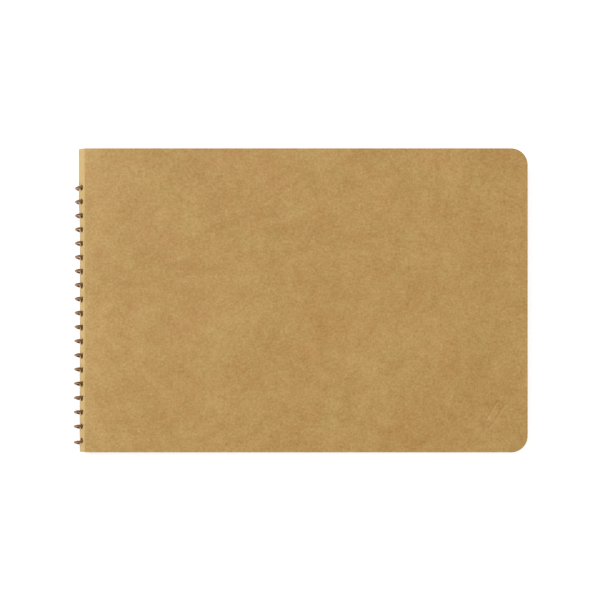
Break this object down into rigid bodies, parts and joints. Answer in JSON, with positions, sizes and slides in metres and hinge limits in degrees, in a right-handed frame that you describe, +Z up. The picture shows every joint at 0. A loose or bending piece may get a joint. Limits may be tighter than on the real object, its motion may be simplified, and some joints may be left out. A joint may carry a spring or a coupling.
{
  "type": "sketchbook",
  "caption": "Landscape sketchbook: a wrap-around kraft board cover, creased at the spine, and drawing sheets on one spiral wire that shows through a row of spine holes.",
  "frame": {"origin": "centre of the closed book's footprint, on the surface it lies on", "axes": "+X from the spine to the fore edge, +Y to the head of the book, +Z up through the front cover"},
  "size_m": [0.191, 0.128, 0.0137],
  "materials": {
    "kraft_board": "matte",
    "drawing_paper": "matte",
    "copper_wire": "satin"
  },
  "bodies": {
    "back_cover": {"back_cover": "kraft_board"},
    "spine": {"spine": "kraft_board", "wire_coil": "copper_wire"},
    "front_cover": {"front_cover": "kraft_board"},
    "sheet_01": {"sheet_01": "drawing_paper"},
    "sheet_02": {"sheet_02": "drawing_paper"},
    "sheet_03": {"sheet_03": "drawing_paper"},
    "sheet_04": {"sheet_04": "drawing_paper"},
    "sheet_05": {"sheet_05": "drawing_paper"},
    "sheet_06": {"sheet_06": "drawing_paper"},
    "sheet_07": {"sheet_07": "drawing_paper"},
    "sheet_08": {"sheet_08": "drawing_paper"},
    "sheet_09": {"sheet_09": "drawing_paper"},
    "sheet_10": {"sheet_10": "drawing_paper"},
    "sheet_11": {"sheet_11": "drawing_paper"},
    "sheet_12": {"sheet_12": "drawing_paper"},
    "sheet_13": {"sheet_13": "drawing_paper"},
    "sheet_14": {"sheet_14": "drawing_paper"},
    "sheet_15": {"sheet_15": "drawing_paper"},
    "sheet_16": {"sheet_16": "drawing_paper"},
    "sheet_17": {"sheet_17": "drawing_paper"},
    "sheet_18": {"sheet_18": "drawing_paper"},
    "sheet_19": {"sheet_19": "drawing_paper"},
    "sheet_20": {"sheet_20": "drawing_paper"}
  },
  "joints": [
    {"name": "spine_fold", "type": "hinge", "parent": "back_cover", "child": "spine", "pos_m": [-0.0906, 0, 0], "axis": [0, -1, 0], "range_deg": [0, 39]},
    {"name": "front_cover_hinge", "type": "hinge", "parent": "spine", "child": "front_cover", "pos_m": [-0.0906, 0, 0.0137], "axis": [0, -1, 0], "range_deg": [0, 144]},
    {"name": "sheet_01_turn", "type": "hinge", "parent": "spine", "child": "sheet_01", "pos_m": [-0.0895, 0, 0.00685], "axis": [0, -1, 0], "range_deg": [0, 45.4]},
    {"name": "sheet_02_turn", "type": "hinge", "parent": "spine", "child": "sheet_02", "pos_m": [-0.0895, 0, 0.00685], "axis": [0, -1, 0], "range_deg": [0, 40.7]},
    {"name": "sheet_03_turn", "type": "hinge", "parent": "spine", "child": "sheet_03", "pos_m": [-0.0895, 0, 0.00685], "axis": [0, -1, 0], "range_deg": [0, 36]},
    {"name": "sheet_04_turn", "type": "hinge", "parent": "spine", "child": "sheet_04", "pos_m": [-0.0895, 0, 0.00685], "axis": [0, -1, 0], "range_deg": [0, 31.3]},
    {"name": "sheet_05_turn", "type": "hinge", "parent": "spine", "child": "sheet_05", "pos_m": [-0.0895, 0, 0.00685], "axis": [0, -1, 0], "range_deg": [0, 26.5]},
    {"name": "sheet_06_turn", "type": "hinge", "parent": "spine", "child": "sheet_06", "pos_m": [-0.0895, 0, 0.00685], "axis": [0, -1, 0], "range_deg": [0, 21.8]},
    {"name": "sheet_07_turn", "type": "hinge", "parent": "spine", "child": "sheet_07", "pos_m": [-0.0895, 0, 0.00685], "axis": [0, -1, 0], "range_deg": [0, 17.1]},
    {"name": "sheet_08_turn", "type": "hinge", "parent": "spine", "child": "sheet_08", "pos_m": [-0.0895, 0, 0.00685], "axis": [0, -1, 0], "range_deg": [0, 12.4]},
    {"name": "sheet_09_turn", "type": "hinge", "parent": "spine", "child": "sheet_09", "pos_m": [-0.0895, 0, 0.00685], "axis": [0, -1, 0], "range_deg": [0, 7.7]},
    {"name": "sheet_10_turn", "type": "hinge", "parent": "spine", "child": "sheet_10", "pos_m": [-0.0895, 0, 0.00685], "axis": [0, -1, 0], "range_deg": [0, 2.9]},
    {"name": "sheet_11_turn", "type": "hinge", "parent": "spine", "child": "sheet_11", "pos_m": [-0.0895, 0, 0.00685], "axis": [0, -1, 0], "range_deg": [-2.4, 0]},
    {"name": "sheet_12_turn", "type": "hinge", "parent": "spine", "child": "sheet_12", "pos_m": [-0.0895, 0, 0.00685], "axis": [0, -1, 0], "range_deg": [-6.4, 0]},
    {"name": "sheet_13_turn", "type": "hinge", "parent": "spine", "child": "sheet_13", "pos_m": [-0.0895, 0, 0.00685], "axis": [0, -1, 0], "range_deg": [-10.5, 0]},
    {"name": "sheet_14_turn", "type": "hinge", "parent": "spine", "child": "sheet_14", "pos_m": [-0.0895, 0, 0.00685], "axis": [0, -1, 0], "range_deg": [-14.5, 0]},
    {"name": "sheet_15_turn", "type": "hinge", "parent": "spine", "child": "sheet_15", "pos_m": [-0.0895, 0, 0.00685], "axis": [0, -1, 0], "range_deg": [-18.5, 0]},
    {"name": "sheet_16_turn", "type": "hinge", "parent": "spine", "child": "sheet_16", "pos_m": [-0.0895, 0, 0.00685], "axis": [0, -1, 0], "range_deg": [-22.5, 0]},
    {"name": "sheet_17_turn", "type": "hinge", "parent": "spine", "child": "sheet_17", "pos_m": [-0.0895, 0, 0.00685], "axis": [0, -1, 0], "range_deg": [-26.6, 0]},
    {"name": "sheet_18_turn", "type": "hinge", "parent": "spine", "child": "sheet_18", "pos_m": [-0.0895, 0, 0.00685], "axis": [0, -1, 0], "range_deg": [-30.6, 0]},
    {"name": "sheet_19_turn", "type": "hinge", "parent": "spine", "child": "sheet_19", "pos_m": [-0.0895, 0, 0.00685], "axis": [0, -1, 0], "range_deg": [-34.6, 0]},
    {"name": "sheet_20_turn", "type": "hinge", "parent": "spine", "child": "sheet_20", "pos_m": [-0.0895, 0, 0.00685], "axis": [0, -1, 0], "range_deg": [-38.7, 0]}
  ],
  "couplings": [
    {"joint": "sheet_01_turn", "follows": "front_cover_hinge", "ratio": 0.315},
    {"joint": "sheet_02_turn", "follows": "front_cover_hinge", "ratio": 0.2822},
    {"joint": "sheet_03_turn", "follows": "front_cover_hinge", "ratio": 0.2494},
    {"joint": "sheet_04_turn", "follows": "front_cover_hinge", "ratio": 0.2167},
    {"joint": "sheet_05_turn", "follows": "front_cover_hinge", "ratio": 0.1839},
    {"joint": "sheet_06_turn", "follows": "front_cover_hinge", "ratio": 0.1511},
    {"joint": "sheet_07_turn", "follows": "front_cover_hinge", "ratio": 0.1183},
    {"joint": "sheet_08_turn", "follows": "front_cover_hinge", "ratio": 0.0856},
    {"joint": "sheet_09_turn", "follows": "front_cover_hinge", "ratio": 0.0528},
    {"joint": "sheet_10_turn", "follows": "front_cover_hinge", "ratio": 0.02},
    {"joint": "sheet_11_turn", "follows": "spine_fold", "ratio": -0.06},
    {"joint": "sheet_12_turn", "follows": "spine_fold", "ratio": -0.1633},
    {"joint": "sheet_13_turn", "follows": "spine_fold", "ratio": -0.2667},
    {"joint": "sheet_14_turn", "follows": "spine_fold", "ratio": -0.37},
    {"joint": "sheet_15_turn", "follows": "spine_fold", "ratio": -0.4733},
    {"joint": "sheet_16_turn", "follows": "spine_fold", "ratio": -0.5767},
    {"joint": "sheet_17_turn", "follows": "spine_fold", "ratio": -0.68},
    {"joint": "sheet_18_turn", "follows": "spine_fold", "ratio": -0.7833},
    {"joint": "sheet_19_turn", "follows": "spine_fold", "ratio": -0.8867},
    {"joint": "sheet_20_turn", "follows": "spine_fold", "ratio": -0.99}
  ]
}
